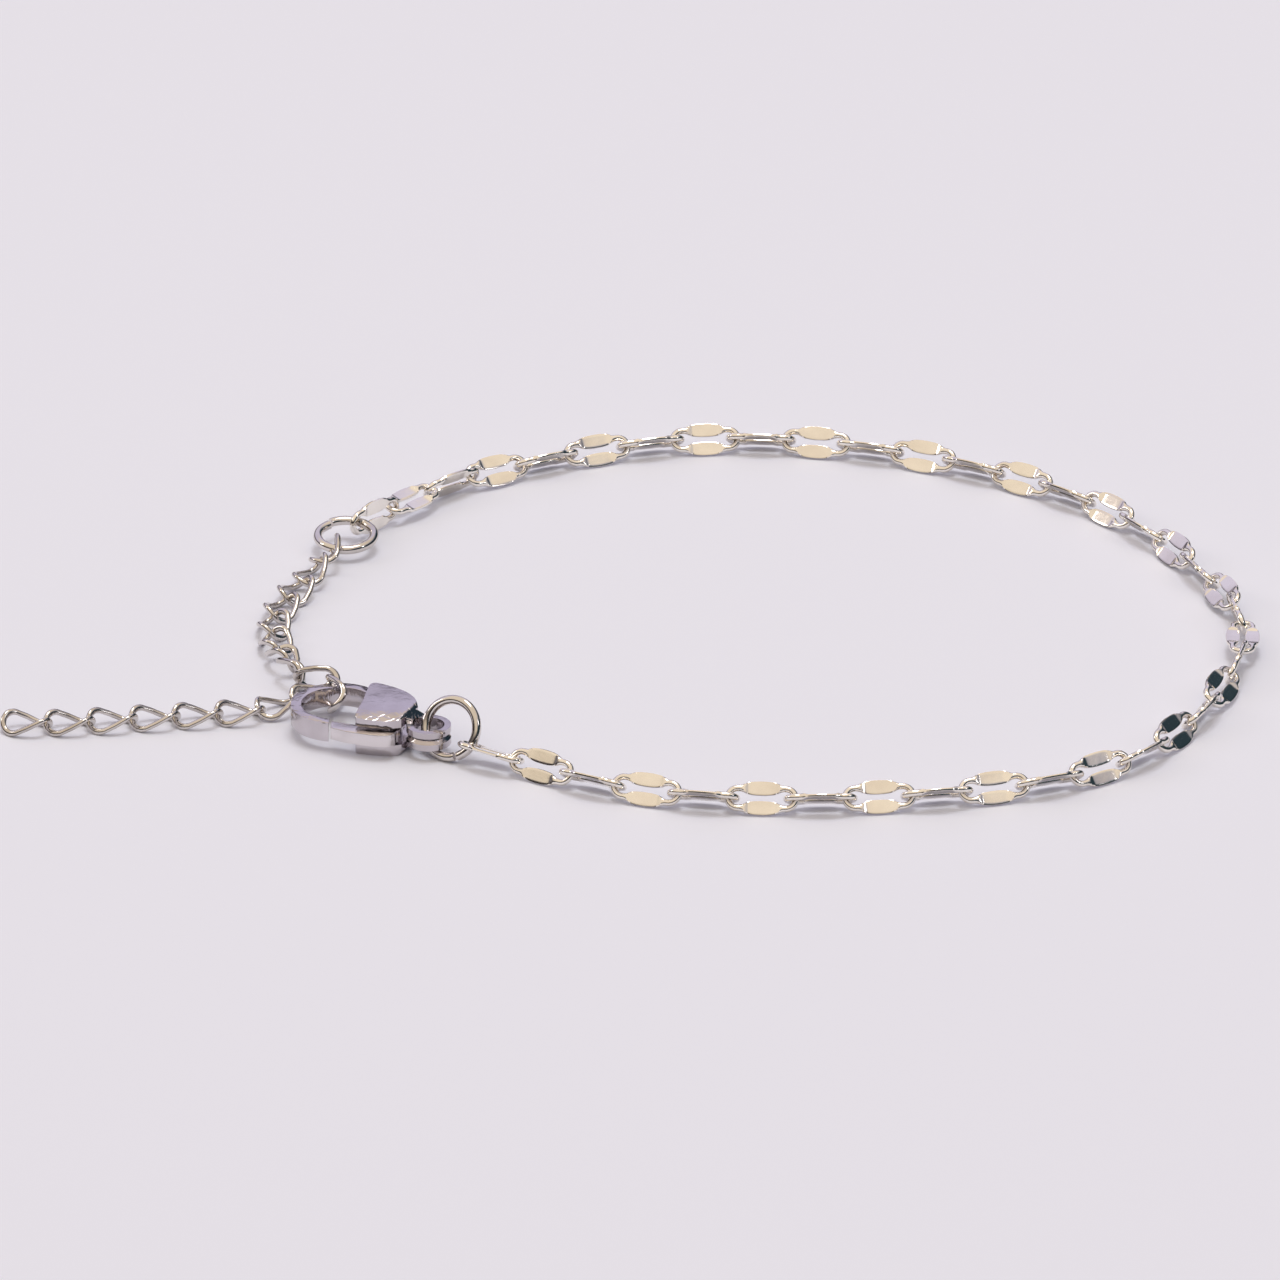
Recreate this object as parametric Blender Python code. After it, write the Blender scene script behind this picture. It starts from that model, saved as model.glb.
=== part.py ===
"""A mariner chain bracelet in polished stainless steel, lying closed on a table.

Thirty-nine flattened links run round the wrist. A jump ring ties them to a lobster clasp,
another ties them to an extender chain, and the clasp is hooked into one extender link.
"""
import math

import bmesh
import bpy
from mathutils import Matrix, Vector

MM = 0.001

# Driving dimensions in millimetres, angles in degrees.
# Mariner chain: each link is round wire whose two long sides are pressed into leaf plates.
LINK_COUNT = 39
LINK_LENGTH = 4.75
LINK_WIRE = 0.42
LINK_SLACK = 0.18
PLATE_WIDTH = 0.94
PLATE_GAP = 0.34
PLATE_LENGTH = 1.95
PLATE_FLAT = 1.15
PLATE_THICKNESS = 0.20
PLATE_EDGE_SHARE = 0.88
LINK_END_SEGMENTS = 5
REST_CLEARANCE = 0.015

# Extender: twisted cable links.
EXTENDER_LENGTH = 3.41
EXTENDER_WIDTH = 2.30
EXTENDER_WIRE = 0.40
EXTENDER_TWIST = 90.0
EXTENDER_CONTACT = 0.14
EXTENDER_REST = 0.60
EXTENDER_POINTS = 14
RUN_LINKS = 9
TAIL_LINKS = 8

# Jump rings: round wire, cut once.
RING_DIAMETER = 4.30
RING_WIRE = 0.60
RING_CUT = 0.16
RING_CUT_STEP = 0.12
RING_POINTS = 26
RING_PLAY = 0.13

# Lobster clasp. It lies on its lower cheek, u runs to its tail and w across it.
CLASP_THICKNESS = 2.70
SLOT_HEIGHT = 1.20
HOOK_OUTER_RADIUS = 3.05
HOOK_BAND = 0.66
HOOK_HEIGHT = 1.30
HOOK_ROOT_ANGLE = 62.0
TAIL_REACH = 6.60
TAIL_RADIUS = 1.44
TAIL_HOLE_RADIUS = 1.02
TAIL_HEIGHT = 1.26
TAIL_GROOVE = 0.12
SHOULDER_START = 5.05
SHOULDER_END = 5.80
CHEEK_CHAMFER = 0.22
PIN_RADIUS = 0.30
PIN_PLACE = (4.20, -1.05)
LEVER_HEIGHT = 0.84
LEVER_REACH = 3.66
LEVER_TIP_GAP = 0.14
LEVER_PIN_PLAY = 0.10
LEVER_PIN_WALL = 0.55
SLOT_BACK = 5.42

# Where the clasp lies, and how it is turned, in the table's plane.
CLASP_PLACE = (-19.35, -15.90)
CLASP_TURN = -28.0

# The ring at the clasp stands in the tail's hole and leans back.
CLASP_RING_TURN = 32.0
CLASP_RING_LEAN = 27.0
CLASP_RING_SET_BACK = 0.25
CLASP_RING_ACROSS = 0.06
CLASP_RING_JOINT_ANGLE = -24.0

# The extender link that the clasp holds stands across the hook's arm.
HELD_LINK_ANGLE = 122.0
HELD_LINK_OUTWARD = 0.12

# The ring between the two chains lies nearly flat.
EXTENDER_RING_TILT = 6.0
EXTENDER_RING_SHIFT = 0.05
LAST_LINK_LIFT = 0.10

# Routes on the table, one point each few links, in millimetres.
MAIN_ROUTE = (
    (-11.0, -21.2), (1.6, -27.0), (16.5, -27.5), (30.2, -22.9), (37.6, -11.0), (38.7, 1.0),
    (31.2, 16.1), (18.5, 25.1), (4.0, 27.7), (-9.8, 22.5), (-17.4, 15.0), (-19.6, 12.0),
)
# The extender's have a third number: how far the link's middle is lifted off its resting height.
RUN_ROUTE = (
    (-22.0, -10.3, 0.45), (-22.7, -7.6, 0.43), (-23.4, -4.9, 0.10), (-23.9, -2.0, 0.0),
    (-23.6, 1.2, 0.0), (-21.95, 5.7, 0.08), (-20.6, 9.0, 0.44), (-19.4, 12.2, 0.24),
)
TAIL_ROUTE = (
    (-22.2, -12.3, 0.12), (-24.2, -14.0, 0.02), (-26.8, -14.5, 0.0), (-32.1, -15.2, 0.0),
    (-37.5, -15.9, 0.0), (-43.0, -15.7, 0.0),
)
# How far each even link leans outwards from lying flat; odd links stand square to their neighbours.
LEANS = ((1, 67.0), (3, 52.0), (14, 50.0), (16, 38.0), (18, 2.0), (20, -38.0), (22, -48.0),
         (34, -50.0), (36, -42.0), (39, 0.0))
# How far each extender link is rolled from lying flat, counted from the link in the clasp.
RUN_ROLLS = ((1, 92.0), (2, 56.0), (3, 24.0), (4, 0.0), (7, 0.0), (9, -45.0))
TAIL_ROLLS = ((1, 10.0), (3, 0.0), (8, 0.0))

# Worked out from the sizes above.
LINK_PITCH = LINK_LENGTH - 2 * LINK_WIRE - LINK_SLACK
LINK_HALF_WIDTH = (PLATE_WIDTH + PLATE_GAP) / 2
LINK_END_PLACE = (LINK_LENGTH - LINK_WIRE) / 2 - LINK_HALF_WIDTH
EXTENDER_PITCH = EXTENDER_LENGTH - 2 * EXTENDER_WIRE + EXTENDER_CONTACT
RING_RADIUS = (RING_DIAMETER - RING_WIRE) / 2
LINK_RING_STEP = ((LINK_LENGTH - LINK_WIRE) / 2 - (LINK_WIRE + RING_WIRE) / 2 - RING_PLAY
                  - LINK_PITCH / 2)
CLASP_MIDDLE = CLASP_THICKNESS / 2
HOOK_INNER_RADIUS = HOOK_OUTER_RADIUS - HOOK_BAND


def clear_scene():
    for item in list(bpy.data.objects):
        bpy.data.objects.remove(item, do_unlink=True)


def make_collection(name):
    collection = bpy.data.collections.new(name)
    bpy.context.scene.collection.children.link(collection)
    return collection


def steel(name, colour, roughness):
    """Polished stainless steel, each sub-part with its own."""
    material = bpy.data.materials.new(name)
    material.use_nodes = True
    shader = material.node_tree.nodes["Principled BSDF"]
    shader.inputs["Base Color"].default_value = (*colour, 1.0)
    shader.inputs["Metallic"].default_value = 1.0
    shader.inputs["Roughness"].default_value = roughness
    return material


def new_object(name, mesh, collection, material=None):
    item = bpy.data.objects.new(name, mesh)
    collection.objects.link(item)
    if material:
        mesh.materials.append(material)
    return item


def smooth_route(points, steps=40):
    """A closely spaced Catmull-Rom line through the chosen points."""
    points = [Vector(p) for p in points]
    ends = [points[0] * 2 - points[1]] + points + [points[-1] * 2 - points[-2]]
    line = []
    for before, start, end, after in zip(ends, ends[1:], ends[2:], ends[3:]):
        for step in range(steps):
            t = step / steps
            line.append(0.5 * (2 * start + (end - before) * t
                               + (2 * before - 5 * start + 4 * end - after) * t ** 2
                               + (3 * start - before - 3 * end + after) * t ** 3))
    return line + [points[-1]]


def walk(line, chord, count):
    """Points a chord apart along the line; past its end the walk goes straight on."""
    places = [line[0]]
    index = 1
    while len(places) < count + 1:
        here = places[-1]
        while index < len(line) and (line[index] - here).length < chord:
            index += 1
        if index >= len(line):
            places.append(here + (here - places[-2]).normalized() * chord)
            continue
        inside, outside = line[index - 1], line[index]
        step = outside - inside
        toward = inside - here
        b = toward.dot(step)
        root = b * b - step.length_squared * (toward.length_squared - chord * chord)
        places.append(inside + step * ((-b + math.sqrt(max(root, 0.0))) / step.length_squared))
    return places


def frame_along(centre, direction, roll):
    """A matrix with x along the direction and its z turned from upright by the roll."""
    x = direction.normalized()
    y = Vector((0, 0, 1)).cross(x).normalized()
    matrix = Matrix((x, y, x.cross(y))).transposed().to_4x4()
    return Matrix.Translation(centre) @ matrix @ Matrix.Rotation(math.radians(roll), 4, "X")


def table_value(table, place):
    for (start, low), (end, high) in zip(table, table[1:]):
        if place <= end:
            return low + (high - low) * max(place - start, 0) / (end - start)
    return table[-1][1]


def link_stations():
    """Section centre, in-plane normal, half width, half height and edge share round one link."""
    stations = []
    plate = (PLATE_WIDTH / 2, PLATE_THICKNESS / 2, PLATE_EDGE_SHARE)
    wire = (LINK_WIRE / 2, LINK_WIRE / 2 * math.sin(math.radians(60)), 0.5)
    for side in (1, -1):
        for step in range(LINK_END_SEGMENTS + 1):
            angle = math.radians(-90 + 180 * step / LINK_END_SEGMENTS)
            normal = Vector((side * math.cos(angle), side * math.sin(angle), 0))
            stations.append((Vector((side * LINK_END_PLACE, 0, 0)) + normal * LINK_HALF_WIDTH,
                             normal, *wire))
        for share, section in ((PLATE_LENGTH, wire), (PLATE_FLAT, plate),
                               (-PLATE_FLAT, plate), (-PLATE_LENGTH, wire)):
            centre = Vector((side * share / 2, side * LINK_HALF_WIDTH, 0))
            stations.append((centre, Vector((0, side, 0)), *section))
    return stations


def link_mesh(material):
    """One mariner link lying flat, lofted through six-sided sections."""
    shape = bmesh.new()
    up = Vector((0, 0, 1))
    loops = []
    for centre, normal, half_width, half_height, share in link_stations():
        corners = ((1, 0), (share, 1), (-share, 1), (-1, 0), (-share, -1), (share, -1))
        loops.append([shape.verts.new((centre + normal * half_width * across
                                       + up * half_height * high) * MM)
                      for across, high in corners])
    for loop, following in zip(loops, loops[1:] + loops[:1]):
        for a, b, c, d in zip(loop, following, following[1:] + following[:1], loop[1:] + loop[:1]):
            shape.faces.new((a, b, c, d))
    bmesh.ops.recalc_face_normals(shape, faces=shape.faces)
    mesh = bpy.data.meshes.new("mariner_link")
    shape.to_mesh(mesh)
    shape.free()
    mesh.materials.append(material)
    return mesh


def link_lean(number):
    lean = table_value(LEANS, number)
    return lean if number % 2 == 0 else lean - 90.0


def lean_height(lean):
    """How high a link's middle lies when its lower plate edge touches the table."""
    angle = math.radians(lean)
    reach = LINK_HALF_WIDTH + PLATE_WIDTH / 2
    flat = PLATE_THICKNESS / 2 * abs(math.cos(angle)) + REST_CLEARANCE
    return max(reach * abs(math.sin(angle)) + flat, LINK_WIRE / 2)


def make_main_chain(collection, start):
    """The links in their places; returns the joints they turn on."""
    line = smooth_route([start.xy] + list(MAIN_ROUTE[1:]))
    joints = walk(line, LINK_PITCH, LINK_COUNT)
    heights = [max(lean_height(link_lean(n)), lean_height(link_lean(n) - 90.0))
               for n in range(1, LINK_COUNT + 1)]
    levels = [start.z] + [(a + b) / 2 for a, b in zip(heights, heights[1:])]
    levels.append(heights[-1] + LAST_LINK_LIFT)
    mesh = link_mesh(steel("link_steel", (0.80, 0.77, 0.73), 0.16))
    places = [joint.to_3d() + Vector((0, 0, level)) for joint, level in zip(joints, levels)]
    for number in range(1, LINK_COUNT + 1):
        low, high = places[number - 1], places[number]
        link = new_object(f"mariner_link_{number:02d}", mesh.copy(), collection)
        set_down(link, frame_along((low + high) / 2, high - low, link_lean(number)))
    bpy.data.meshes.remove(mesh)
    return places


def tube(name, points, wire, closed, collection, material, resolution):
    """Round wire along a line, as a closed mesh."""
    curve = bpy.data.curves.new(name, "CURVE")
    curve.dimensions = "3D"
    curve.bevel_depth = wire / 2 * MM
    curve.bevel_resolution = resolution
    curve.use_fill_caps = not closed
    spline = curve.splines.new("POLY")
    spline.points.add(len(points) - 1)
    spline.use_cyclic_u = closed
    for slot, point in zip(spline.points, points):
        slot.co = (*(point * MM), 1.0)
    guide = bpy.data.objects.new(name, curve)
    collection.objects.link(guide)
    bpy.context.view_layer.update()
    mesh = bpy.data.meshes.new_from_object(guide.evaluated_get(bpy.context.evaluated_depsgraph_get()))
    bpy.data.objects.remove(guide)
    shape = bmesh.new()
    shape.from_mesh(mesh)
    bmesh.ops.remove_doubles(shape, verts=shape.verts, dist=1e-7)
    bmesh.ops.recalc_face_normals(shape, faces=shape.faces)
    shape.to_mesh(mesh)
    shape.free()
    mesh.materials.clear()
    return new_object(name, mesh, collection, material)


def twisted_line():
    """The middle line of one extender link: an oval whose ends are turned against each other."""
    reach = (EXTENDER_LENGTH - EXTENDER_WIRE) / 2
    half_width = (EXTENDER_WIDTH - EXTENDER_WIRE) / 2
    points = []
    for step in range(EXTENDER_POINTS):
        angle = 2 * math.pi * (step + 0.5) / EXTENDER_POINTS
        along = math.cos(angle)
        across = math.copysign(abs(math.sin(angle)) ** 0.75, math.sin(angle)) * half_width
        twist = math.radians(-EXTENDER_TWIST / 2 * along)
        points.append(Vector((along * reach, across * math.cos(twist), across * math.sin(twist))))
    return points


def held_link_place():
    """The extender link round the hook's arm: its long axis crosses the arm, half way up."""
    angle = math.radians(HELD_LINK_ANGLE + CLASP_TURN)
    outward = Vector((math.cos(angle), math.sin(angle), 0))
    middle = Vector((*CLASP_PLACE, CLASP_MIDDLE))
    centre = middle + outward * (HOOK_OUTER_RADIUS - HOOK_BAND / 2 + HELD_LINK_OUTWARD)
    return centre, outward


def make_extender(collection):
    """All twisted links fused where they touch; returns the joint at the far end of the run."""
    material = steel("extender_steel", (0.78, 0.74, 0.70), 0.18)
    centre, outward = held_link_place()
    places = [frame_along(centre, outward, 90.0)]
    joint = centre + outward * EXTENDER_PITCH / 2
    for route, rolls, count in ((TAIL_ROUTE, TAIL_ROLLS, TAIL_LINKS),
                                (RUN_ROUTE, RUN_ROLLS, RUN_LINKS)):
        line = smooth_route([joint] + [(x, y, EXTENDER_REST + lift) for x, y, lift in route])
        stops = walk(line, EXTENDER_PITCH, count)
        places += [frame_along((a + b) / 2, b - a, table_value(rolls, number + 1))
                   for number, (a, b) in enumerate(zip(stops, stops[1:]))]
    chain = None
    for place in places:
        points = [place @ point for point in twisted_line()]
        link = tube("extender_chain", points, EXTENDER_WIRE, True, collection, material, 1)
        chain = join_solid(chain, link, "UNION") if chain else link
    chain.name = "extender_chain"
    merge_slivers(chain)
    return stops


def merge_slivers(item):
    """Joins corners a few thousandths of a millimetre apart, which a Boolean leaves."""
    shape = bmesh.new()
    shape.from_mesh(item.data)
    bmesh.ops.remove_doubles(shape, verts=shape.verts, dist=3e-6)
    bmesh.ops.recalc_face_normals(shape, faces=shape.faces)
    shape.to_mesh(item.data)
    shape.free()


def join_solid(body, tool, operation):
    """Applies one Boolean and removes the tool."""
    change = body.modifiers.new(operation.lower(), "BOOLEAN")
    change.operation = operation
    change.object = tool
    bpy.context.view_layer.update()
    mesh = bpy.data.meshes.new_from_object(body.evaluated_get(bpy.context.evaluated_depsgraph_get()))
    body.modifiers.clear()
    body.data = mesh
    bpy.data.objects.remove(tool)
    return body


def make_ring(name, centre, side, up, cut_angle, collection, material):
    """A jump ring in the plane of two unit directions, cut at an angle, its ends a little apart."""
    normal = side.cross(up).normalized()
    points = []
    opening = RING_CUT / RING_RADIUS
    for step in range(RING_POINTS):
        share = step / (RING_POINTS - 1)
        angle = math.radians(cut_angle) + opening / 2 + (2 * math.pi - opening) * share
        points.append(centre + RING_RADIUS * (side * math.cos(angle) + up * math.sin(angle))
                      + normal * RING_CUT_STEP * (share - 0.5))
    return tube(name, points, RING_WIRE, False, collection, material, 2)


def clasp_frame():
    return (Matrix.Translation(Vector((*CLASP_PLACE, 0)))
            @ Matrix.Rotation(math.radians(CLASP_TURN), 4, "Z"))


def set_down(item, frame):
    """Places a piece modelled in its own millimetre frame."""
    frame = frame.copy()
    frame.translation *= MM
    item.matrix_world = frame


def arc(centre, radius, start, end, steps):
    points = []
    for step in range(steps + 1):
        angle = math.radians(start + (end - start) * step / steps)
        points.append((centre[0] + radius * math.cos(angle), centre[1] + radius * math.sin(angle)))
    return points


def slab(name, outline, low, high, collection, material=None, chamfer=0.0):
    """A flat outline in the clasp's own plane, raised between two heights."""
    shape = bmesh.new()
    floor = [shape.verts.new(Vector((u, w, low)) * MM) for u, w in outline]
    face = shape.faces.new(floor)
    lift = bmesh.ops.extrude_face_region(shape, geom=[face])
    raised = [item for item in lift["geom"] if isinstance(item, bmesh.types.BMVert)]
    bmesh.ops.translate(shape, verts=raised, vec=Vector((0, 0, high - low)) * MM)
    bmesh.ops.recalc_face_normals(shape, faces=shape.faces)
    if chamfer:
        rims = [edge for edge in shape.edges
                if abs(edge.verts[0].co.z - edge.verts[1].co.z) < 1e-9]
        bmesh.ops.bevel(shape, geom=rims, offset=chamfer * MM, segments=1, affect="EDGES",
                        clamp_overlap=True)
    mesh = bpy.data.meshes.new(name)
    shape.to_mesh(mesh)
    shape.free()
    return new_object(name, mesh, collection, material)


def cheek_outline():
    """The body seen from above: front edge, near rim, tail eye and curved back."""
    near_front = (2.50, -2.35)
    neck = 0.62
    tail_turn = math.degrees(math.asin(neck / TAIL_RADIUS))
    tail = arc((TAIL_REACH, 0), TAIL_RADIUS, -180 + tail_turn, 180 - tail_turn, 16)
    back = [(5.30, 1.00), (4.60, 1.75), (3.75, 2.25), (2.80, 2.50), (1.85, 2.58), (1.05, 2.60)]
    front = [(1.02, 2.30), (1.30, 1.45), (1.85, -0.10), (2.25, -1.45)]
    return front + [near_front, (3.60, -2.12), (4.70, -1.72), (5.30, -1.28)] + tail + back


def side_profile(collection):
    """What keeps the body at full thickness as far as its shoulder, then drops to the tail eye."""
    drop = (CLASP_THICKNESS - TAIL_HEIGHT) / 2
    steps = 6
    upper = [(0.0, CLASP_THICKNESS)]
    for step in range(steps + 1):
        share = step / steps
        ease = share * share * (3 - 2 * share)
        upper.append((SHOULDER_START + (SHOULDER_END - SHOULDER_START) * share,
                      CLASP_THICKNESS - drop * ease))
    upper.append((TAIL_REACH + 2 * TAIL_RADIUS, CLASP_THICKNESS - drop))
    outline = upper + [(u, CLASP_THICKNESS - z) for u, z in reversed(upper)]
    shape = bmesh.new()
    width = 2 * HOOK_OUTER_RADIUS
    near = [shape.verts.new(Vector((u, -width, z)) * MM) for u, z in outline]
    far = [shape.verts.new(Vector((u, width, z)) * MM) for u, z in outline]
    shape.faces.new(near)
    shape.faces.new(far)
    for a, b, c, d in zip(near, far, far[1:] + far[:1], near[1:] + near[:1]):
        shape.faces.new((a, b, c, d))
    bmesh.ops.recalc_face_normals(shape, faces=shape.faces)
    mesh = bpy.data.meshes.new("side_profile")
    shape.to_mesh(mesh)
    shape.free()
    return new_object("side_profile", mesh, collection)


def make_clasp_body(collection, cutters):
    """Cheeks, tail eye, hook and rivet as one solid."""
    material = steel("clasp_steel", (0.74, 0.70, 0.72), 0.20)
    body = slab("clasp_body", cheek_outline(), 0.0, CLASP_THICKNESS, collection, material,
                CHEEK_CHAMFER)
    join_solid(body, side_profile(cutters), "INTERSECT")
    low_slot = CLASP_MIDDLE - SLOT_HEIGHT / 2
    slot = [(0.0, -3.6), (SLOT_BACK, -3.6), (SLOT_BACK, 3.4), (1.95, 3.4), (1.95, 1.30), (0.0, 0.9)]
    join_solid(body, slab("slot", slot, low_slot, low_slot + SLOT_HEIGHT, cutters), "DIFFERENCE")
    hole = arc((TAIL_REACH, 0), TAIL_HOLE_RADIUS, 0, 360, 16)[:-1]
    join_solid(body, slab("tail_hole", hole, -1.0, CLASP_THICKNESS + 1.0, cutters), "DIFFERENCE")
    groove_outer = arc((TAIL_REACH, 0), TAIL_RADIUS * 1.3, -145, 145, 16)
    groove_inner = arc((TAIL_REACH, 0), TAIL_RADIUS - TAIL_GROOVE, 145, -145, 16)
    groove = slab("groove", groove_outer + groove_inner, CLASP_MIDDLE - TAIL_GROOVE / 2,
                  CLASP_MIDDLE + TAIL_GROOVE / 2, cutters)
    join_solid(body, groove, "DIFFERENCE")
    tip_outer, tip_inner = hook_tip(HOOK_OUTER_RADIUS), hook_tip(HOOK_INNER_RADIUS)
    band = (arc((0, 0), HOOK_OUTER_RADIUS, HOOK_ROOT_ANGLE, tip_outer, 20)
            + arc((0, 0), HOOK_INNER_RADIUS, tip_inner, HOOK_ROOT_ANGLE, 20))
    low = CLASP_MIDDLE - HOOK_HEIGHT / 2
    hook = slab("hook", [(1.75, 1.75), (2.00, 2.50)] + band, low, low + HOOK_HEIGHT, cutters)
    join_solid(body, hook, "UNION")
    pin = arc(PIN_PLACE, PIN_RADIUS, 0, 360, 12)[:-1]
    rivet = slab("rivet", pin, low_slot - 0.3, low_slot + SLOT_HEIGHT + 0.3, cutters)
    join_solid(body, rivet, "UNION")
    set_down(body, clasp_frame())


def hook_tip(radius):
    """The angle at which the hook stops, on a circle about the lever's pin."""
    reach = LEVER_REACH + LEVER_TIP_GAP
    pin = math.hypot(*PIN_PLACE)
    cosine = (radius ** 2 + pin ** 2 - reach ** 2) / (2 * radius * pin)
    return 360 + math.degrees(math.atan2(PIN_PLACE[1], PIN_PLACE[0]) - math.acos(cosine))


def make_lever(collection, cutters):
    """The gate arm, the eye on the rivet and the thumb nub, in one flat piece."""
    material = steel("lever_steel", (0.72, 0.69, 0.70), 0.22)
    pin = Vector(PIN_PLACE)
    tip = arc(PIN_PLACE, LEVER_REACH, 197.0, 212.0, 4)
    outer = [(2.30, -3.05), (3.90, -2.75), (4.85, -2.35), (5.15, -1.85)]
    eye = arc(PIN_PLACE, PIN_RADIUS + LEVER_PIN_PLAY + LEVER_PIN_WALL, -28, 62, 5)
    nub = [(4.05, 0.60), (3.22, 2.65), (3.28, 3.10), (3.03, 3.38), (2.43, 3.38), (2.18, 3.10),
           (2.28, 2.55)]
    inner = [(3.05, 0.35), (3.00, -0.90), (2.40, -1.85)]
    outline = tip + outer + eye + nub + inner
    low = CLASP_MIDDLE - LEVER_HEIGHT / 2
    lever = slab("clasp_lever", outline, low, low + LEVER_HEIGHT, collection, material, 0.06)
    hole = arc(pin, PIN_RADIUS + LEVER_PIN_PLAY, 0, 360, 12)[:-1]
    join_solid(lever, slab("lever_hole", hole, -1.0, CLASP_THICKNESS + 1.0, cutters), "DIFFERENCE")
    lever.data.transform(Matrix.Translation(Vector((*PIN_PLACE, 0)) * -MM))
    set_down(lever, clasp_frame() @ Matrix.Translation(Vector((*PIN_PLACE, 0))))


def make_clasp_ring(collection, material):
    """The standing ring through the tail eye; returns where the first link hangs on it."""
    turn, lean = math.radians(CLASP_RING_TURN), math.radians(CLASP_RING_LEAN)
    side = Vector((math.cos(turn), -math.sin(turn), 0))
    up = Vector((math.sin(lean) * math.sin(turn), math.sin(lean) * math.cos(turn), math.cos(lean)))
    height = RING_DIAMETER / 2 * math.cos(lean)
    drop = (height - CLASP_MIDDLE) / math.cos(lean)
    reach = math.sqrt(RING_RADIUS ** 2 - drop ** 2) - CLASP_RING_SET_BACK
    eye = clasp_frame() @ Vector((TAIL_REACH, CLASP_RING_ACROSS, CLASP_MIDDLE))
    centre = eye + side * reach + up * drop
    make_ring("jump_ring_clasp", centre, side, up, -62.0, collection, material)
    angle = math.radians(CLASP_RING_JOINT_ANGLE)
    return centre + RING_RADIUS * (side * math.cos(angle) + up * math.sin(angle))


def make_extender_ring(collection, material, chain_end, run_end):
    """The ring between the chains: it passes through both end links."""
    tilt = math.radians(EXTENDER_RING_TILT)
    normal = Vector((0, -math.sin(tilt), math.cos(tilt)))
    side = chain_end - run_end
    side = (side - normal * side.dot(normal)).normalized()
    up = normal.cross(side)
    centre = (chain_end + run_end) / 2 - side * EXTENDER_RING_SHIFT
    centre.z = chain_end.z - RING_RADIUS * side.z
    make_ring("jump_ring_extender", centre, side, up, 60.0, collection, material)


def seat(collection):
    """Moves everything so that the middle of its footprint is the origin."""
    low, high = Vector((1e9,) * 3), Vector((-1e9,) * 3)
    for item in collection.objects:
        for vertex in item.data.vertices:
            point = item.matrix_world @ vertex.co
            low = Vector(map(min, low, point))
            high = Vector(map(max, high, point))
    frame = bpy.data.objects.new("bracelet_frame", None)
    collection.objects.link(frame)
    for item in list(collection.objects):
        if item is not frame:
            item.parent = frame
    frame.location = (-(low.x + high.x) / 2, -(low.y + high.y) / 2, -low.z)


def main():
    clear_scene()
    collection = make_collection("mariner_chain_bracelet")
    cutters = make_collection("cutters")
    make_clasp_body(collection, cutters)
    make_lever(collection, cutters)
    ring_steel = steel("ring_steel", (0.80, 0.76, 0.71), 0.18)
    held = make_clasp_ring(collection, ring_steel)
    toward = (Vector((*MAIN_ROUTE[1], held.z)) - held).normalized()
    joints = make_main_chain(collection, held + toward * LINK_RING_STEP)
    stops = make_extender(collection)
    make_extender_ring(collection, ring_steel, joints[-1], stops[-1])
    seat(collection)


main()
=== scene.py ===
"""A polished steel mariner chain bracelet lying closed on a pale table."""
import math

import bpy
import bmesh
import numpy as np
from mathutils import Matrix, Vector


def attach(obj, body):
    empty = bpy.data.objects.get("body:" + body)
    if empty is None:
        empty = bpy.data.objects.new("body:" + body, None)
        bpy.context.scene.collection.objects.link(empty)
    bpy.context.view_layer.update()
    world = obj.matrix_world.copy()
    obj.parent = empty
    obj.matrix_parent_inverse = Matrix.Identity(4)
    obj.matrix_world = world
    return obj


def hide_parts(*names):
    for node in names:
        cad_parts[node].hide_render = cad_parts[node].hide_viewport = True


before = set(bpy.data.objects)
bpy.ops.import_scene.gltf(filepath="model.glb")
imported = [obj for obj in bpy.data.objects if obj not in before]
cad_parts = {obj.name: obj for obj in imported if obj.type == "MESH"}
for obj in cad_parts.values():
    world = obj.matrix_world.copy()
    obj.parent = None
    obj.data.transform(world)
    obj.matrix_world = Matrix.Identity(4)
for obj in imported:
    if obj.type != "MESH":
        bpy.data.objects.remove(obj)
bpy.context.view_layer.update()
MM = 0.001


# The view: the photograph is taken from the front, 25 degrees above the table, with a long lens.
# Its middle falls on the table just in front of the loop's centre.
VIEW_MIDDLE = Vector((0.40, -1.88, 0.0)) * MM
VIEW_RAISE = math.radians(25.0)
VIEW_DISTANCE = 1.0

bpy.ops.object.select_all(action="DESELECT")
bpy.ops.object.camera_add(
    location=VIEW_MIDDLE + Vector((0, -math.cos(VIEW_RAISE), math.sin(VIEW_RAISE))) * VIEW_DISTANCE,
    rotation=(math.pi / 2 - VIEW_RAISE, 0, 0))
camera = bpy.context.object
camera.name = "camera"
camera.data.sensor_width = 36.0
camera.data.lens = 432.7
camera.data.clip_start = 0.01
camera.data.clip_end = 20.0
bpy.context.scene.camera = camera


# The mariner links: rings of round steel wire, closed without a visible joint.
# The two long sides of each are pressed into leaf-shaped plates with a flat middle and two
# sloped ends, and the links are threaded at right angles to each other.
LINK_LENGTH = 4.75
LINK_WIRE = 0.42
LINK_SIDE = 0.64
LINK_BEND = (LINK_LENGTH - LINK_WIRE) / 2 - LINK_SIDE
SECTION_POINTS = 20
# from the link's middle, half width, half thickness, how round the section is (1 is wire)
PLATE_STATIONS = (
    (0.200, 0.472, 0.094, 0.00),
    (0.400, 0.462, 0.094, 0.00),
    (0.600, 0.443, 0.095, 0.00),
    (0.760, 0.420, 0.098, 0.02),
    (0.840, 0.404, 0.106, 0.08),
    (0.900, 0.388, 0.122, 0.18),
    (0.960, 0.368, 0.142, 0.34),
    (1.030, 0.338, 0.164, 0.55),
    (1.110, 0.300, 0.184, 0.76),
    (1.200, 0.258, 0.199, 0.92),
    (1.310, 0.224, 0.208, 1.00),
    (1.420, 0.210, 0.210, 1.00),
)


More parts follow.
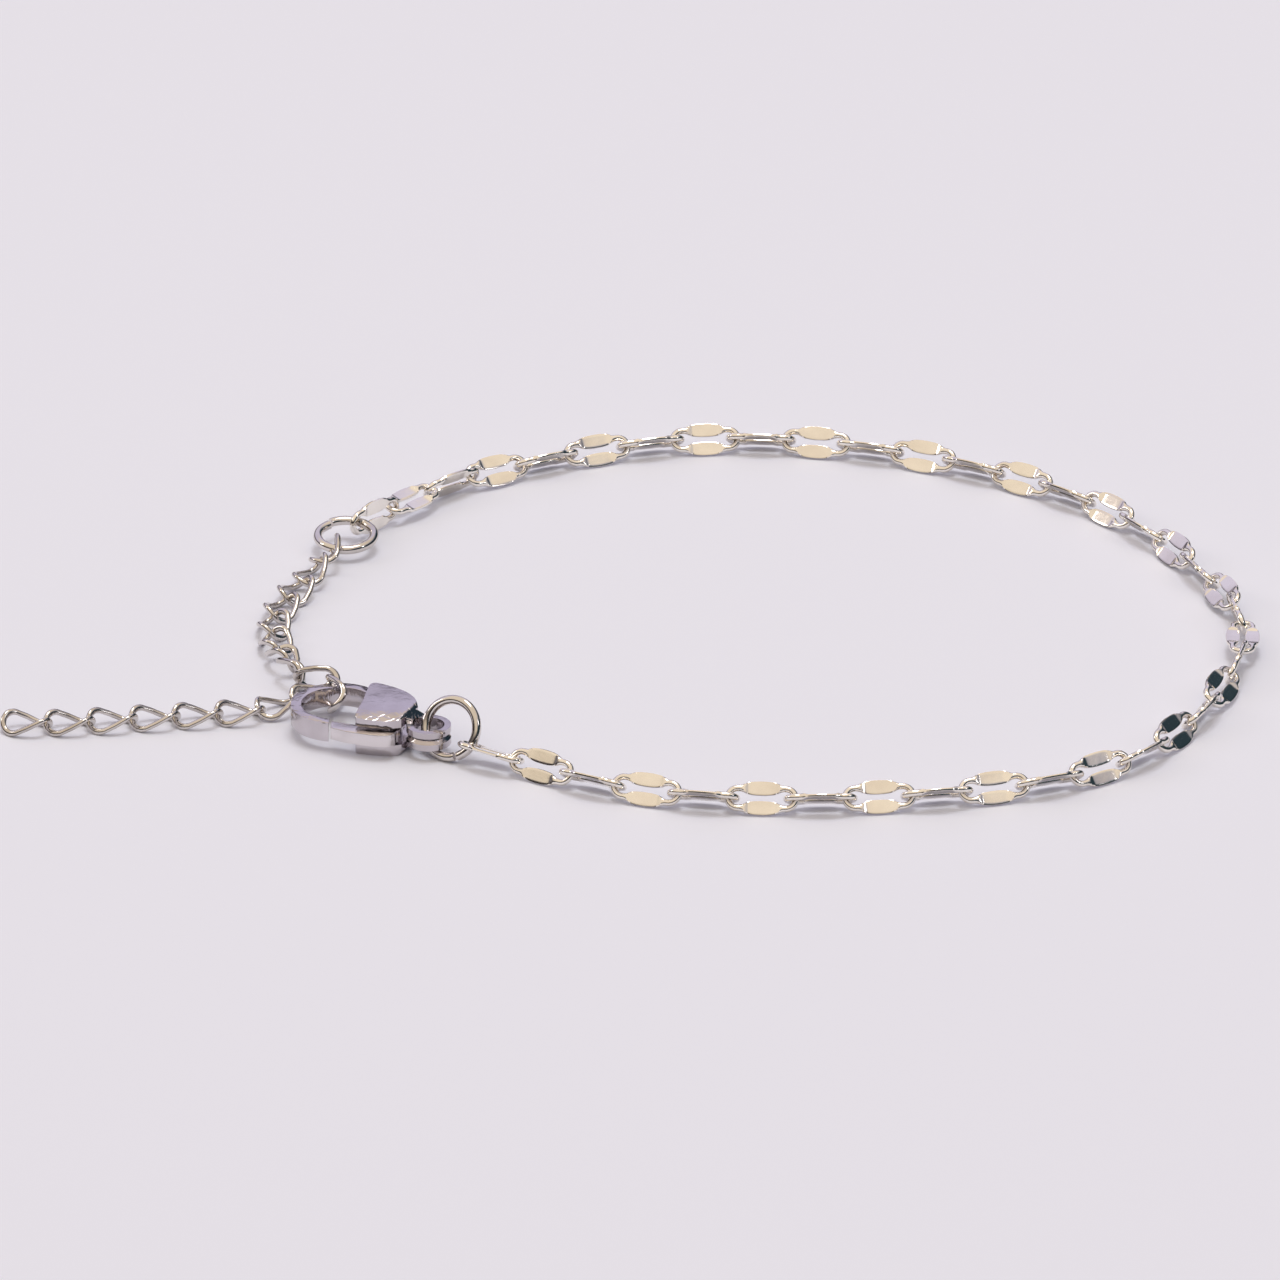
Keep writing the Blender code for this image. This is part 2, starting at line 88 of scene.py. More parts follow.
def start_piece():
    """Leaves edit mode and lets go of everything."""
    if bpy.context.object and bpy.context.object.mode == "EDIT":
        bpy.ops.object.mode_set(mode="OBJECT")
    bpy.ops.object.select_all(action="DESELECT")


def pressed_point(turn, half_width, half_thickness, roundness):
    """One point of a wire section that is pressed flat by the die, or left round."""
    across, high = math.cos(turn), math.sin(turn)
    lifted = high * (1.0 + 1.6 * (1.0 - roundness))
    lifted = max(-1.0, min(1.0, lifted))
    return across * half_width, lifted * half_thickness


def press_wire(along, half_width, half_thickness, roundness):
    """Puts the picked section at its place along the link and gives it its pressed shape."""
    cage = bmesh.from_edit_mesh(bpy.context.object.data)
    section = sorted((v for v in cage.verts if v.select), key=lambda v: v.index)
    for number, corner in enumerate(section):
        turn = 2 * math.pi * number / len(section)
        across, high = pressed_point(turn, half_width, half_thickness, roundness)
        corner.co = Vector((along, LINK_SIDE + across, high)) * MM
    bmesh.update_edit_mesh(bpy.context.object.data)


def mirror_solid(piece, axis):
    """Adds the other half of a piece that ends on the middle plane."""
    mirror = piece.modifiers.new("other_half", "MIRROR")
    mirror.use_axis = (axis == 0, axis == 1, False)
    mirror.merge_threshold = 2e-6
    bpy.ops.object.modifier_apply(modifier=mirror.name)


start_piece()
bpy.ops.mesh.primitive_circle_add(vertices=SECTION_POINTS, radius=LINK_WIRE / 2 * MM)
link = bpy.context.object
link.name = "link_model"
bpy.ops.object.mode_set(mode="EDIT")
bpy.ops.mesh.select_all(action="SELECT")
press_wire(0.0, 0.475, 0.094, 0.0)
for station in PLATE_STATIONS:
    bpy.ops.mesh.extrude_region_move()
    press_wire(*station)
bpy.ops.mesh.extrude_region_move()
press_wire(LINK_BEND, LINK_WIRE / 2, LINK_WIRE / 2, 1.0)
bpy.ops.mesh.spin(steps=9, angle=math.pi / 2, center=(LINK_BEND * MM, 0, 0), axis=(0, 0, 1))
start_piece()
link.select_set(True)
bpy.context.view_layer.objects.active = link
for plane in (0, 1):
    mirror_solid(link, plane)
bpy.ops.object.mode_set(mode="EDIT")
bpy.ops.mesh.select_all(action="SELECT")
bpy.ops.mesh.remove_doubles(threshold=2e-6)
bpy.ops.mesh.normals_make_consistent(inside=False)
bpy.ops.object.mode_set(mode="OBJECT")
bpy.ops.object.shade_smooth_by_angle(angle=math.radians(24))


def polished_steel(name, colour, tint, roughness, grain, hairlines=0.0):
    """Tumbled and polished stainless steel: clouded tint, faint wavy skin and fine hairlines."""
    material = bpy.data.materials.new(name)
    material.use_nodes = True
    nodes, links = material.node_tree.nodes, material.node_tree.links
    shader = nodes["Principled BSDF"]
    shader.inputs["Metallic"].default_value = 1.0
    place = nodes.new("ShaderNodeTexCoord")

    cloud = nodes.new("ShaderNodeTexNoise")
    cloud.inputs["Scale"].default_value = 420.0
    cloud.inputs["Detail"].default_value = 3.0
    links.new(place.outputs["Object"], cloud.inputs["Vector"])
    shades = nodes.new("ShaderNodeValToRGB")
    shades.color_ramp.elements[0].position = 0.35
    shades.color_ramp.elements[0].color = (*tint, 1.0)
    shades.color_ramp.elements[1].position = 0.65
    shades.color_ramp.elements[1].color = (*colour, 1.0)
    links.new(cloud.outputs["Fac"], shades.inputs["Fac"])
    links.new(shades.outputs["Color"], shader.inputs["Base Color"])

    wear = nodes.new("ShaderNodeTexNoise")
    wear.inputs["Scale"].default_value = 2600.0
    wear.inputs["Detail"].default_value = 5.0
    links.new(place.outputs["Object"], wear.inputs["Vector"])
    gloss = nodes.new("ShaderNodeMapRange")
    gloss.inputs["To Min"].default_value = roughness * 0.7
    gloss.inputs["To Max"].default_value = roughness * 1.4
    links.new(wear.outputs["Fac"], gloss.inputs["Value"])
    links.new(gloss.outputs["Result"], shader.inputs["Roughness"])

    skin = nodes.new("ShaderNodeTexNoise")
    skin.inputs["Scale"].default_value = 1500.0
    skin.inputs["Detail"].default_value = 2.0
    links.new(place.outputs["Object"], skin.inputs["Vector"])
    relief = nodes.new("ShaderNodeBump")
    relief.inputs["Strength"].default_value = grain
    relief.inputs["Distance"].default_value = 0.00004
    links.new(skin.outputs["Fac"], relief.inputs["Height"])
    links.new(relief.outputs["Normal"], shader.inputs["Normal"])
    if hairlines:
        upright = nodes.new("ShaderNodeMapping")
        upright.inputs["Scale"].default_value = (1.0, 1.0, 0.08)
        links.new(place.outputs["Object"], upright.inputs["Vector"])
        lines = nodes.new("ShaderNodeTexNoise")
        lines.inputs["Scale"].default_value = 9000.0
        lines.inputs["Detail"].default_value = 3.0
        links.new(upright.outputs["Vector"], lines.inputs["Vector"])
        scratches = nodes.new("ShaderNodeBump")
        scratches.inputs["Strength"].default_value = hairlines
        scratches.inputs["Distance"].default_value = 0.00003
        links.new(lines.outputs["Fac"], scratches.inputs["Height"])
        links.new(relief.outputs["Normal"], scratches.inputs["Normal"])
        links.new(scratches.outputs["Normal"], shader.inputs["Normal"])
    return material


link_steel = polished_steel("link_steel", (0.93, 0.89, 0.83), (0.83, 0.78, 0.72), 0.11, 0.25)
link.data.materials.append(link_steel)


def link_axes(node):
    """Where a threaded link lies: its middle, and its long, wide and thin directions."""
    corners = np.array([tuple(vertex.co) for vertex in node.data.vertices])
    corners = np.unique(np.round(corners, 7), axis=0)
    middle = corners.mean(axis=0)
    spread = np.linalg.eigh(np.cov((corners - middle).T))[1]
    long_way, wide_way = Vector(spread[:, 2]), Vector(spread[:, 1])
    thin_way = long_way.cross(wide_way)
    turn = Matrix((long_way, wide_way, thin_way)).transposed().to_4x4()
    return Matrix.Translation(Vector(middle)) @ turn


for number in range(1, 40):
    threaded = link.copy()
    threaded.data = link.data.copy()
    threaded.name = f"pressed_link_{number:02d}"
    bpy.context.scene.collection.objects.link(threaded)
    threaded.data.transform(link_axes(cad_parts[f"mariner_link_{number:02d}"]))
    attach(threaded, "bracelet")
    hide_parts(f"mariner_link_{number:02d}")
bpy.data.objects.remove(link)


# The extender: twisted cable links of thin round steel wire, each turned a quarter along
# its length so that the chain lies flat. One link is held in the clasp's hook, nine run from it
# to the far ring, and eight hang free as the tail.
CABLE_LENGTH = 3.41
CABLE_WIDTH = 2.30
CABLE_WIRE = 0.40
# middle x, y, z, heading, climb and roll of each link, in millimetres and degrees
CABLE_PLACES = (
    (-19.146, -12.948, 1.360, 94.0, 0.0, 90.0),
    (-20.542, -11.891, 1.041, -166.4, -13.4, 10.0),
    (-22.902, -13.080, 0.674, -140.5, -2.0, 5.0),
    (-25.316, -14.189, 0.617, -170.2, -0.3, 0.0),
    (-28.034, -14.604, 0.609, -172.4, -0.0, 0.0),
    (-30.761, -14.963, 0.609, -172.6, 0.0, 0.0),
    (-33.484, -15.347, 0.610, -171.3, 0.0, 0.0),
    (-36.212, -15.676, 0.610, -174.9, 0.0, 0.0),
    (-38.956, -15.753, 0.610, 178.2, 0.0, 0.0),
    (-20.418, -10.881, 1.210, 149.4, -6.3, 92.0),
    (-21.941, -8.855, 1.051, 104.6, -0.4, 56.0),
    (-22.632, -6.203, 0.880, 104.6, -6.8, 24.0),
    (-23.229, -3.531, 0.666, 100.6, -2.2, 0.0),
    (-23.421, -0.807, 0.609, 87.5, -0.2, 0.0),
    (-22.968, 1.885, 0.613, 73.4, 0.4, 0.0),
    (-22.073, 4.482, 0.655, 68.5, 1.3, 0.0),
    (-21.052, 7.026, 0.837, 67.7, 6.3, -22.5),
    (-20.037, 9.573, 0.981, 68.8, -0.3, -45.0),
)

start_piece()
bpy.ops.mesh.primitive_torus_add(
    major_segments=56, minor_segments=14, minor_radius=CABLE_WIRE / 2 * MM,
    major_radius=(CABLE_WIDTH - CABLE_WIRE) / 2 * MM)
cable_link = bpy.context.object
cable_link.name = "cable_link_model"
for side in (1, -1):
    bpy.ops.object.mode_set(mode="EDIT")
    bpy.ops.mesh.select_all(action="DESELECT")
    bpy.ops.object.mode_set(mode="OBJECT")
    for vertex in cable_link.data.vertices:
        vertex.select = vertex.co.x * side > 1e-6
    bpy.ops.object.mode_set(mode="EDIT")
    bpy.ops.transform.translate(value=(side * (CABLE_LENGTH - CABLE_WIDTH) / 2 * MM, 0, 0))
bpy.ops.object.mode_set(mode="OBJECT")
for vertex in cable_link.data.vertices:
    turn = math.radians(-45.0) * vertex.co.x / ((CABLE_LENGTH - CABLE_WIRE) / 2 * MM)
    vertex.co = Matrix.Rotation(turn, 3, "X") @ vertex.co
bpy.ops.object.shade_smooth()
cable_link.data.materials.append(
    polished_steel("extender_steel", (0.70, 0.66, 0.63), (0.57, 0.53, 0.50), 0.10, 0.2))

laid = []
for x, y, z, heading, climb, roll in CABLE_PLACES:
    copy = cable_link.copy()
    copy.data = cable_link.data.copy()
    bpy.context.scene.collection.objects.link(copy)
    copy.data.transform(Matrix.Translation(Vector((x, y, z)) * MM)
                        @ Matrix.Rotation(math.radians(heading), 4, "Z")
                        @ Matrix.Rotation(math.radians(-climb), 4, "Y")
                        @ Matrix.Rotation(math.radians(roll), 4, "X"))
    laid.append(copy)
bpy.data.objects.remove(cable_link)
start_piece()
for copy in laid:
    copy.select_set(True)
bpy.context.view_layer.objects.active = laid[0]
bpy.ops.object.join()
extender = bpy.context.object
extender.name = "twisted_cable_extender"
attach(extender, "bracelet")
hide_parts("extender_chain")


# The jump rings: thick round wire bent to a ring, cut once, and pushed shut a little askew.
# One stands in the clasp's tail, the other lies between the chain and the extender.
RING_RADIUS = 1.85
RING_WIRE = 0.60
RING_CUT = 0.16
RING_STEP = 0.12
ring_steel = polished_steel("ring_steel", (0.74, 0.70, 0.67), (0.62, 0.58, 0.55), 0.10, 0.2)


def bend_ring(name, middle, side, rise, cut_at, node):
    """Spins the wire's section round to the cut, closes its two ends and leans the ring over."""
    start_piece()
    bpy.ops.mesh.primitive_torus_add(
        major_segments=96, minor_segments=20, major_radius=RING_RADIUS * MM,
        minor_radius=RING_WIRE / 2 * MM)
    ring = bpy.context.object
    ring.name = name
    bpy.ops.object.mode_set(mode="EDIT")
    bpy.ops.mesh.select_all(action="DESELECT")
    cage = bmesh.from_edit_mesh(ring.data)
    opening = RING_CUT / RING_RADIUS
    slice_turn = 2 * math.pi / 96
    for face in cage.faces:
        spot = face.calc_center_median()
        face.select = 0 < math.atan2(spot.y, spot.x) < slice_turn
    bmesh.update_edit_mesh(ring.data)
    bpy.ops.mesh.delete(type="FACE")
    cage = bmesh.from_edit_mesh(ring.data)
    for edge in cage.edges:
        edge.select = edge.is_boundary
    cage.select_flush(True)
    bpy.ops.mesh.edge_face_add()
    cage = bmesh.from_edit_mesh(ring.data)
    for vertex in cage.verts:
        angle = math.atan2(vertex.co.y, vertex.co.x) % (2 * math.pi)
        angle = angle if angle > slice_turn / 2 else angle + 2 * math.pi
        share = (angle - slice_turn) / (2 * math.pi - slice_turn)
        reach = math.hypot(vertex.co.x, vertex.co.y)
        angle = opening / 2 + (2 * math.pi - opening) * share
        vertex.co = Vector((reach * math.cos(angle), reach * math.sin(angle),
                            vertex.co.z + RING_STEP * (share - 0.5) * MM))
    bmesh.update_edit_mesh(ring.data)
    bpy.ops.mesh.select_all(action="SELECT")
    bpy.ops.mesh.normals_make_consistent(inside=False)
    bpy.ops.object.mode_set(mode="OBJECT")
    bpy.ops.object.shade_smooth_by_angle(angle=math.radians(40))
    side, rise = Vector(side).normalized(), Vector(rise).normalized()
    stand = Matrix((side, rise, side.cross(rise))).transposed().to_4x4()
    ring.data.transform(Matrix.Translation(Vector(middle) * MM) @ stand
                        @ Matrix.Rotation(math.radians(cut_at), 4, "Z"))
    ring.data.materials.append(ring_steel)
    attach(ring, "bracelet")
    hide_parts(node)
    return ring


bend_ring("ring_at_clasp", (-11.6777, -19.371, 1.9253), (0.848, -0.5299, 0.0),
          (0.2406, 0.385, 0.891), -62.0, "jump_ring_clasp")
bend_ring("ring_at_extender", (-18.9471, 12.1456, 1.0588), (0.4159, 0.9044, 0.0951),
          (-0.9094, 0.4136, 0.0435), 60.0, "jump_ring_extender")


# The clasp's body: two steel cheeks with a slot between them, a hook bent round in front,
# and a tail eye of two stacked rims. It is cast, tumbled and polished, so its rims are soft.
CLASP_MIDDLE = Vector((-18.9477, -15.7815, 0.0096))
CLASP_TURN = math.radians(-28.0)
CLASP_THICK = 2.70
TAIL = (6.60, 0.0)
PIN = (4.20, -1.05)
clasp_steel = polished_steel("clasp_steel", (0.64, 0.60, 0.63), (0.54, 0.50, 0.52), 0.10, 0.9, 0.3)


def crease_where_it_slopes(material):
    """Adds the fine wavy creases that show in the polish where the top falls away."""
    nodes, links = material.node_tree.nodes, material.node_tree.links
    shader = nodes["Principled BSDF"]
    before = shader.inputs["Normal"].links[0].from_socket
    place = nodes.new("ShaderNodeTexCoord")
    sway = nodes.new("ShaderNodeTexNoise")
    sway.inputs["Scale"].default_value = 1100.0
    sway.inputs["Detail"].default_value = 2.0
    links.new(place.outputs["Object"], sway.inputs["Vector"])
    pushed = nodes.new("ShaderNodeVectorMath")
    pushed.operation = "MULTIPLY_ADD"
    pushed.inputs[1].default_value = (0.0007, 0.0007, 0.0007)
    links.new(sway.outputs["Color"], pushed.inputs[0])
    links.new(place.outputs["Object"], pushed.inputs[2])
    cells = nodes.new("ShaderNodeTexVoronoi")
    cells.feature = "DISTANCE_TO_EDGE"
    cells.inputs["Scale"].default_value = 1500.0
    links.new(pushed.outputs["Vector"], cells.inputs["Vector"])
    crease = nodes.new("ShaderNodeMapRange")
    crease.inputs["From Max"].default_value = 0.10
    links.new(cells.outputs["Distance"], crease.inputs["Value"])
    facing = nodes.new("ShaderNodeNewGeometry")
    upward = nodes.new("ShaderNodeSeparateXYZ")
    links.new(facing.outputs["Normal"], upward.inputs["Vector"])
    sloped = nodes.new("ShaderNodeValToRGB")
    for steepness, share in ((0.60, 0.0), (0.74, 1.0), (0.975, 1.0), (0.998, 0.0)):
        stop = (sloped.color_ramp.elements[0] if steepness == 0.60
                else sloped.color_ramp.elements[-1] if steepness == 0.998
                else sloped.color_ramp.elements.new(steepness))
        stop.position = steepness
        stop.color = (share, share, share, 1.0)
    links.new(upward.outputs["Z"], sloped.inputs["Fac"])
    both = nodes.new("ShaderNodeMath")
    both.operation = "MULTIPLY"
    links.new(crease.outputs["Result"], both.inputs[0])
    links.new(sloped.outputs["Color"], both.inputs[1])
    raised = nodes.new("ShaderNodeBump")
    raised.inputs["Strength"].default_value = 0.55
    raised.inputs["Distance"].default_value = 0.00003
    links.new(both.outputs["Value"], raised.inputs["Height"])
    links.new(before, raised.inputs["Normal"])
    links.new(raised.outputs["Normal"], shader.inputs["Normal"])


crease_where_it_slopes(clasp_steel)


def arc(centre, radius, start, end, steps):
    """Points round part of a circle, in the clasp's own plane."""
    turns = [math.radians(start + (end - start) * step / steps) for step in range(steps + 1)]
    return [(centre[0] + radius * math.cos(t), centre[1] + radius * math.sin(t)) for t in turns]


def drawn_through(points, steps=6):
    """A smooth line through the points of an outline."""
    points = [Vector(point) for point in points]
    line = []
    ends = [points[0] * 2 - points[1]] + points + [points[-1] * 2 - points[-2]]
    for before, here, there, after in zip(ends, ends[1:], ends[2:], ends[3:]):
        for step in range(steps):
            t = step / steps
            line.append(0.5 * (2 * here + (there - before) * t
                               + (2 * before - 5 * here + 4 * there - after) * t ** 2
                               + (3 * here - before - 3 * there + after) * t ** 3))
    return [tuple(point) for point in line + [points[-1]]]


def cut_plate(name, outline, low, high):
    """A disc shaped to an outline and pulled up to its thickness."""
    start_piece()
    bpy.ops.mesh.primitive_circle_add(vertices=len(outline), radius=MM, fill_type="NGON")
    plate = bpy.context.object
    plate.name = name
    bpy.ops.object.mode_set(mode="EDIT")
    cage = bmesh.from_edit_mesh(plate.data)
    cage.verts.ensure_lookup_table()
    for vertex, (u, w) in zip(cage.verts, outline):
        vertex.co = Vector((u, w, low)) * MM
    bmesh.update_edit_mesh(plate.data)
    bpy.ops.mesh.select_all(action="SELECT")
    bpy.ops.mesh.extrude_region_move(TRANSFORM_OT_translate={"value": (0, 0, (high - low) * MM)})
    bpy.ops.mesh.select_all(action="SELECT")
    bpy.ops.mesh.normals_make_consistent(inside=False)
    bpy.ops.object.mode_set(mode="OBJECT")
    return plate


def round_rims(plate, width, segments):
    """Rounds the upper and lower rims of a plate."""
    start_piece()
    plate.select_set(True)
    bpy.context.view_layer.objects.active = plate
    bpy.ops.object.mode_set(mode="EDIT")
    bpy.ops.mesh.select_all(action="DESELECT")
    cage = bmesh.from_edit_mesh(plate.data)
    for edge in cage.edges:
        level = abs(edge.verts[0].co.z - edge.verts[1].co.z) < 1e-9
        edge.select = level and any(len(face.verts) > 4 for face in edge.link_faces)
    bmesh.update_edit_mesh(plate.data)
    bpy.ops.mesh.bevel(offset=width * MM, segments=segments, affect="EDGES", clamp_overlap=True)
    bpy.ops.object.mode_set(mode="OBJECT")


def work_solid(piece, tool, operation):
    """Cuts, joins or trims one solid with another and puts the tool away."""
    start_piece()
    piece.select_set(True)
    bpy.context.view_layer.objects.active = piece
    change = piece.modifiers.new(operation.lower(), "BOOLEAN")
    change.operation = operation
    change.object = tool
    bpy.ops.object.modifier_apply(modifier=change.name)
    bpy.data.objects.remove(tool)


def soften(piece, width, segments):
    """A last light rounding of the edges that the cuts leave."""
    start_piece()
    piece.select_set(True)
    bpy.context.view_layer.objects.active = piece
    edge_round = piece.modifiers.new("tumbled", "BEVEL")
    edge_round.width = width * MM
    edge_round.segments = segments
    edge_round.limit_method = "ANGLE"
    edge_round.angle_limit = math.radians(38)
    bpy.ops.object.modifier_apply(modifier=edge_round.name)
    bpy.ops.object.shade_smooth_by_angle(angle=math.radians(32))


tail_turn = math.degrees(math.asin(0.62 / 1.44))
cheeks = cut_plate(
    "clasp_cheeks",
    arc((1.53, 2.19), 0.39, 95, 190, 8)
    + drawn_through([(1.20, 1.88), (1.36, 1.40), (1.87, -0.10), (2.25, -1.45), (2.46, -2.20)])
    + drawn_through([(2.62, -2.34), (3.60, -2.12), (4.70, -1.72), (5.28, -1.22)])
    + arc(TAIL, 1.44, -180 + tail_turn, 180 - tail_turn, 56)
    + drawn_through([(5.30, 0.98), (4.60, 1.75), (3.75, 2.25), (2.80, 2.50), (1.85, 2.58)]),
    0.0, CLASP_THICK)
round_rims(cheeks, 0.22, 5)

# The sides step down in an S to the tail, as thick as its two rims.
drop = (CLASP_THICK - 1.26) / 2
upper = [(0.0, CLASP_THICK + 0.01), (4.9, CLASP_THICK + 0.01)]
for step in range(21):
    share = step / 20
    upper.append((5.0 + 0.85 * share, CLASP_THICK - drop * share ** 2 * (3 - 2 * share)))
upper.append((9.0, CLASP_THICK - drop))
profile = cut_plate("side_profile", upper + [(u, CLASP_THICK - z) for u, z in reversed(upper)],
                    -6.0, 6.0)
profile.data.transform(Matrix.Rotation(math.pi / 2, 4, "X"))
work_solid(cheeks, profile, "INTERSECT")

slot_low = CLASP_THICK / 2 - 0.60
work_solid(cheeks, cut_plate("slot", [(0.0, -3.6), (5.42, -3.6), (5.42, 3.4), (1.95, 3.4),
                                      (1.95, 1.30), (0.0, 0.9)], slot_low, slot_low + 1.2),
           "DIFFERENCE")
work_solid(cheeks, cut_plate("tail_hole", arc(TAIL, 1.02, 0, 360, 48)[:-1], -1.0, 4.0),
           "DIFFERENCE")
work_solid(cheeks, cut_plate("tail_seam", arc(TAIL, 1.9, -145, 145, 48)
                             + arc(TAIL, 1.29, 145, -145, 48),
                             CLASP_THICK / 2 - 0.05, CLASP_THICK / 2 + 0.05), "DIFFERENCE")
start_piece()
bpy.ops.mesh.primitive_torus_add(
    location=(TAIL[0] * MM, 0, CLASP_THICK / 2 * MM), major_segments=64, minor_segments=4,
    major_radius=1.53 * MM, minor_radius=0.30 * MM)
seam_flare = bpy.context.object
bpy.ops.object.transform_apply()
work_solid(cheeks, seam_flare, "DIFFERENCE")


def hook_end(radius):
    """Where the hook stops: on a circle about the rivet, just clear of the lever."""
    pin = math.hypot(*PIN)
    cosine = (radius ** 2 + pin ** 2 - 3.80 ** 2) / (2 * radius * pin)
    return 360 + math.degrees(math.atan2(PIN[1], PIN[0]) - math.acos(cosine))


# The top falls away by 15 degrees towards the near rim.
fall = math.radians(15.0)
start_piece()
cheeks.select_set(True)
bpy.context.view_layer.objects.active = cheeks
bpy.ops.object.mode_set(mode="EDIT")
bpy.ops.mesh.select_all(action="SELECT")
bpy.ops.mesh.bisect(
    plane_co=(2.30 * MM, -1.75 * MM, CLASP_THICK * MM),
    plane_no=(0.406 * math.sin(fall), -0.914 * math.sin(fall), math.cos(fall)),
    use_fill=True, clear_outer=True)
bpy.ops.mesh.select_all(action="SELECT")
bpy.ops.mesh.remove_doubles(threshold=1e-6)
bpy.ops.mesh.normals_make_consistent(inside=False)
bpy.ops.object.mode_set(mode="OBJECT")
soften(cheeks, 0.10, 4)
hook = cut_plate("hook", [(1.75, 1.75), (2.00, 2.50)]
                 + arc((0, 0), 3.05, 62, hook_end(3.05), 56)
                 + arc((0, 0), 2.39, hook_end(2.39), 62, 48), 0.70, 2.0)
round_rims(hook, 0.10, 4)
work_solid(cheeks, hook, "UNION")
rivet = cut_plate("rivet", arc(PIN, 0.30, 0, 360, 32)[:-1], slot_low - 0.3, slot_low + 1.5)
work_solid(cheeks, rivet, "UNION")
soften(cheeks, 0.03, 2)
cheeks.name = "clasp_cheeks_and_hook"
lie = Matrix.Translation(CLASP_MIDDLE * MM) @ Matrix.Rotation(CLASP_TURN, 4, "Z")
cheeks.data.transform(lie)
cheeks.data.materials.append(clasp_steel)
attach(cheeks, "bracelet")
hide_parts("clasp_body")


# The clasp's lever: one flat steel casting with the gate arm, the eye on the rivet and the
# thumb nub, sprung shut from inside the slot.
lever = cut_plate(
    "clasp_gate_lever",
    arc(PIN, 3.66, 197, 212, 8)
    + drawn_through([(2.30, -3.05), (3.90, -2.75), (4.85, -2.35), (5.15, -1.85)])
    + arc(PIN, 0.95, -28, 62, 14)
    + drawn_through([(4.05, 0.60), (3.22, 2.65), (3.28, 3.10)])
    + arc((2.73, 3.02), 0.46, 30, 150, 10)
    + drawn_through([(2.18, 3.10), (2.28, 2.55), (3.05, 0.35), (3.00, -0.90), (2.40, -1.85)]),
    0.93, 1.77)
round_rims(lever, 0.10, 4)
work_solid(lever, cut_plate("rivet_hole", arc(PIN, 0.40, 0, 360, 40)[:-1], -1.0, 4.0),
           "DIFFERENCE")
soften(lever, 0.03, 2)
lever.data.transform(lie)
lever.data.materials.append(
    polished_steel("lever_steel", (0.76, 0.72, 0.73), (0.60, 0.56, 0.57), 0.15, 0.5, 0.7))
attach(lever, "lever")
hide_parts("clasp_lever")


# The table: smooth pale lavender paint, lit softly from all round.
start_piece()
bpy.ops.mesh.primitive_plane_add(size=6.0)
table = bpy.context.object
table.name = "table"
paint = bpy.data.materials.new("table_paint")
paint.use_nodes = True
coat = paint.node_tree.nodes["Principled BSDF"]
coat.inputs["Base Color"].default_value = (0.80, 0.825, 0.95, 1.0)
coat.inputs["Roughness"].default_value = 0.75
table.data.materials.append(paint)

# The room that the steel mirrors: a pale lavender wall behind the table, a dark room behind the
# camera and to the sides, and a cream ceiling.
world = bpy.context.scene.world or bpy.data.worlds.new("studio")
bpy.context.scene.world = world
world.use_nodes = True
air, air_links = world.node_tree.nodes, world.node_tree.links
sky = air["Background"]
way = air.new("ShaderNodeTexCoord")
parts = air.new("ShaderNodeSeparateXYZ")
air_links.new(way.outputs["Generated"], parts.inputs["Vector"])


def room_side(bands):
    """How one side of the room changes from the table's level to straight overhead."""
    height = air.new("ShaderNodeValToRGB")
    while len(height.color_ramp.elements) < len(bands):
        height.color_ramp.elements.new(0.5)
    for stop, (level, shade) in zip(height.color_ramp.elements, bands):
        stop.position = level
        stop.color = (*shade, 1.0)
    air_links.new(parts.outputs["Z"], height.inputs["Fac"])
    return height


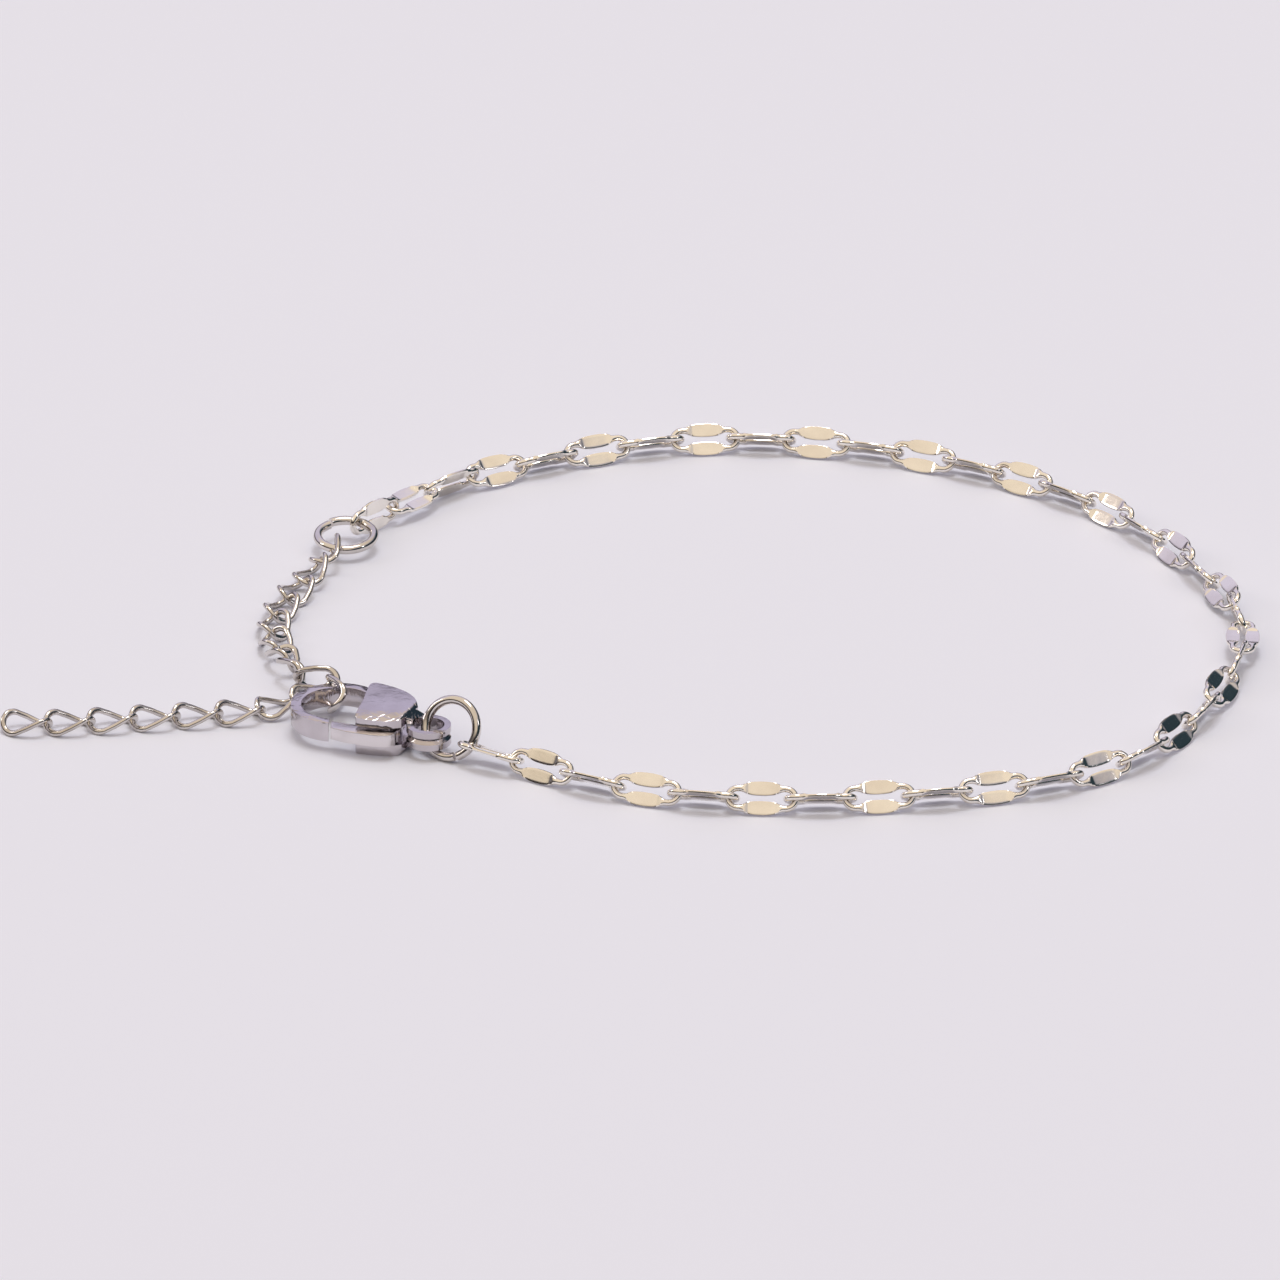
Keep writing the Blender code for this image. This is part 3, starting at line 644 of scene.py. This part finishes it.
CEILING = (0.86, 0.75, 0.61)
wall = room_side(((0.00, (0.03, 0.025, 0.03)), (0.14, (0.07, 0.06, 0.07)), (0.27, (0.45, 0.42, 0.53)),
                  (0.34, (0.66, 0.62, 0.77)), (0.62, (0.66, 0.62, 0.77)), (0.76, CEILING),
                  (1.00, CEILING)))
behind = room_side(((0.00, (0.015, 0.012, 0.012)), (0.24, (0.025, 0.020, 0.020)),
                    (0.34, (0.14, 0.12, 0.12)), (0.46, (0.72, 0.62, 0.49)), (0.70, CEILING),
                    (1.00, CEILING)))
right = room_side(((0.00, (0.030, 0.030, 0.034)), (0.12, (0.018, 0.034, 0.044)),
                   (0.48, (0.030, 0.050, 0.065)), (0.62, (0.42, 0.40, 0.44)), (0.80, CEILING),
                   (1.00, CEILING)))


def where_it_turns(axis, start, end):
    """How far one part of the room has given way to the next, along one way of looking."""
    share = air.new("ShaderNodeMapRange")
    share.inputs["From Min"].default_value = start
    share.inputs["From Max"].default_value = end
    air_links.new(parts.outputs[axis], share.inputs["Value"])
    return share.outputs["Result"]


def beside(share, one, other):
    """Two parts of the room side by side."""
    both = air.new("ShaderNodeMixRGB")
    air_links.new(share, both.inputs["Fac"])
    air_links.new(one, both.inputs["Color1"])
    air_links.new(other, both.inputs["Color2"])
    return both.outputs["Color"]


front_and_back = beside(where_it_turns("Y", 0.05, 0.50), behind.outputs["Color"],
                        wall.outputs["Color"])
air_links.new(beside(where_it_turns("X", 0.24, 0.44), front_and_back, right.outputs["Color"]),
              sky.inputs["Color"])
sky.inputs["Strength"].default_value = 1.06
bpy.context.scene.view_settings.view_transform = "Standard"


def soft_light(name, place, aim, size, power, colour):
    """A square lamp that faces a point on the table."""
    bpy.ops.object.light_add(type="AREA", location=place)
    lamp = bpy.context.object
    lamp.name = name
    lamp.data.shape = "RECTANGLE"
    lamp.data.size, lamp.data.size_y = size
    lamp.data.energy = power
    lamp.data.color = colour
    lamp.rotation_euler = (Vector(aim) - Vector(place)).to_track_quat("-Z", "Y").to_euler()
    return lamp


soft_light("overhead", (0.05, 0.10, 0.9), (0, 0, 0), (0.32, 0.32), 2.2, (0.97, 0.98, 1.0))
soft_light("from_left", (-0.8, 0.1, 0.45), (0, 0, 0), (0.12, 0.30), 0.55, (1.0, 0.97, 0.94))
soft_light("from_right", (0.7, -0.35, 0.5), (0, 0, 0), (0.10, 0.22), 0.35, (0.96, 0.96, 1.0))


bpy.context.view_layer.update()
